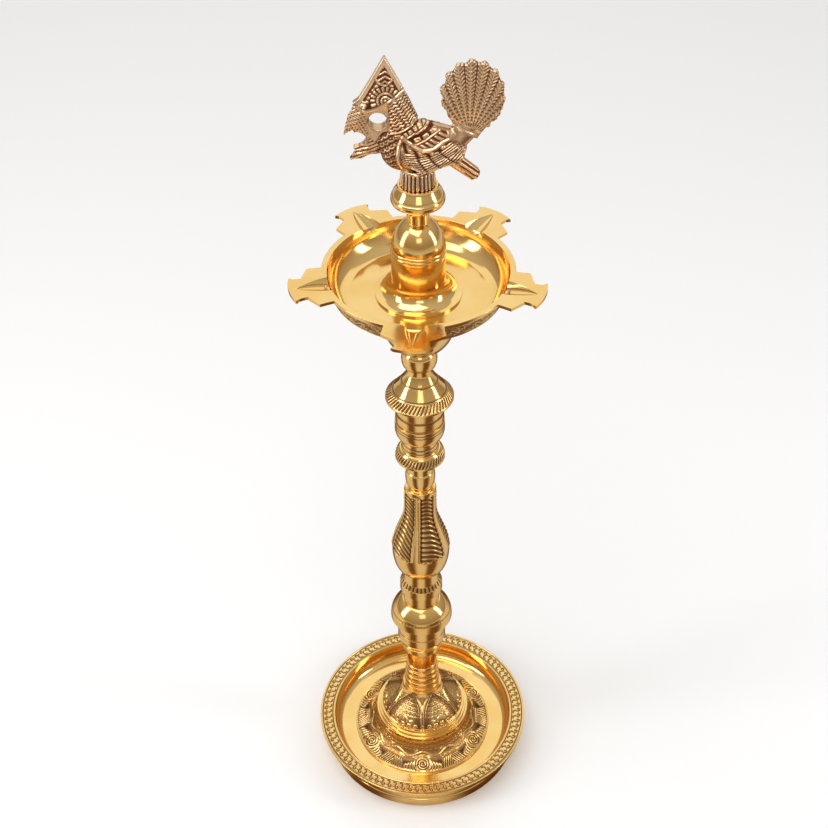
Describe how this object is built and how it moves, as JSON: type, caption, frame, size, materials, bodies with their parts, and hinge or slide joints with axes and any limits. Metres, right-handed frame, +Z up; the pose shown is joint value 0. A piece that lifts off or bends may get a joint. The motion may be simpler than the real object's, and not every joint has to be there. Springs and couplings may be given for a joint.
{
  "type": "standing oil lamp",
  "caption": "Standing brass oil lamp: footed drip tray, turned stem that unscrews into sections, shallow bowl with wick spouts, central column and a cast crested bird finial.",
  "frame": {"origin": "on the lamp's axis, at the level of the surface it stands on", "axes": "+Z up along the stem; the bird faces -X, and the picture looks along +Y"},
  "size_m": [0.14, 0.14, 0.515],
  "materials": {
    "polished_brass": "polished, with darker engraved bands",
    "antique_brass": "cast relief with dark recesses and rubbed edges",
    "thread_brass": "cut thread"
  },
  "bodies": {
    "tray": {"drip_tray": "polished_brass"},
    "tray_stud": {"tray_stud": "thread_brass"},
    "stem": {"lower_stem": "polished_brass"},
    "stem_stud": {"stem_stud": "thread_brass"},
    "leaf": {"leaf_baluster": "polished_brass"},
    "leaf_stud": {"leaf_stud": "thread_brass"},
    "saucer": {"saucer_section": "polished_brass"},
    "saucer_stud": {"saucer_stud": "thread_brass"},
    "knop": {"bell_knop": "polished_brass"},
    "bowl_stud": {"bowl_stud": "thread_brass"},
    "bowl": {"oil_bowl": "polished_brass"},
    "column_stud": {"column_stud": "thread_brass"},
    "column": {"column_sleeve": "polished_brass"},
    "cap_stud": {"cap_stud": "thread_brass"},
    "cap": {"column_cap": "polished_brass"},
    "finial_stud": {"finial_stud": "thread_brass"},
    "bird": {"bird_finial": "antique_brass"}
  },
  "joints": [
    {"name": "stem_lift", "type": "slide", "parent": "tray", "child": "tray_stud", "axis": [0, 0, 1], "range_m": [0, 0.008]},
    {"name": "stem_unscrew", "type": "hinge", "parent": "tray_stud", "child": "stem", "pos_m": [0, 0, 0.0545], "axis": [0, 0, 1], "range_deg": [0, 1921]},
    {"name": "leaf_lift", "type": "slide", "parent": "stem", "child": "stem_stud", "axis": [0, 0, 1], "range_m": [0, 0.008]},
    {"name": "leaf_unscrew", "type": "hinge", "parent": "stem_stud", "child": "leaf", "pos_m": [0, 0, 0.1369], "axis": [0, 0, 1], "range_deg": [0, 1921]},
    {"name": "saucer_lift", "type": "slide", "parent": "leaf", "child": "leaf_stud", "axis": [0, 0, 1], "range_m": [0, 0.008]},
    {"name": "saucer_unscrew", "type": "hinge", "parent": "leaf_stud", "child": "saucer", "pos_m": [0, 0, 0.2355], "axis": [0, 0, 1], "range_deg": [0, 1921]},
    {"name": "knop_lift", "type": "slide", "parent": "saucer", "child": "saucer_stud", "axis": [0, 0, 1], "range_m": [0, 0.008]},
    {"name": "knop_unscrew", "type": "hinge", "parent": "saucer_stud", "child": "knop", "pos_m": [0, 0, 0.275], "axis": [0, 0, 1], "range_deg": [0, 1921]},
    {"name": "bowl_lift", "type": "slide", "parent": "knop", "child": "bowl_stud", "axis": [0, 0, 1], "range_m": [0, 0.008]},
    {"name": "bowl_unscrew", "type": "hinge", "parent": "bowl_stud", "child": "bowl", "pos_m": [0, 0, 0.3255], "axis": [0, 0, 1], "range_deg": [0, 1921]},
    {"name": "column_lift", "type": "slide", "parent": "bowl", "child": "column_stud", "axis": [0, 0, 1], "range_m": [0, 0.008]},
    {"name": "column_unscrew", "type": "hinge", "parent": "column_stud", "child": "column", "pos_m": [0, 0, 0.3775], "axis": [0, 0, 1], "range_deg": [0, 1921]},
    {"name": "cap_lift", "type": "slide", "parent": "column", "child": "cap_stud", "axis": [0, 0, 1], "range_m": [0, 0.008]},
    {"name": "cap_unscrew", "type": "hinge", "parent": "cap_stud", "child": "cap", "pos_m": [0, 0, 0.4054], "axis": [0, 0, 1], "range_deg": [0, 1921]},
    {"name": "bird_lift", "type": "slide", "parent": "cap", "child": "finial_stud", "axis": [0, 0, 1], "range_m": [0, 0.008]},
    {"name": "bird_unscrew", "type": "hinge", "parent": "finial_stud", "child": "bird", "pos_m": [0, 0, 0.4434], "axis": [0, 0, 1], "range_deg": [0, 1921]}
  ],
  "couplings": [
    {"joint": "stem_unscrew", "follows": "stem_lift", "rad_per_m": 4188.8},
    {"joint": "leaf_unscrew", "follows": "leaf_lift", "rad_per_m": 4188.8},
    {"joint": "saucer_unscrew", "follows": "saucer_lift", "rad_per_m": 4188.8},
    {"joint": "knop_unscrew", "follows": "knop_lift", "rad_per_m": 4188.8},
    {"joint": "bowl_unscrew", "follows": "bowl_lift", "rad_per_m": 4188.8},
    {"joint": "column_unscrew", "follows": "column_lift", "rad_per_m": 4188.8},
    {"joint": "cap_unscrew", "follows": "cap_lift", "rad_per_m": 4188.8},
    {"joint": "bird_unscrew", "follows": "bird_lift", "rad_per_m": 4188.8}
  ]
}
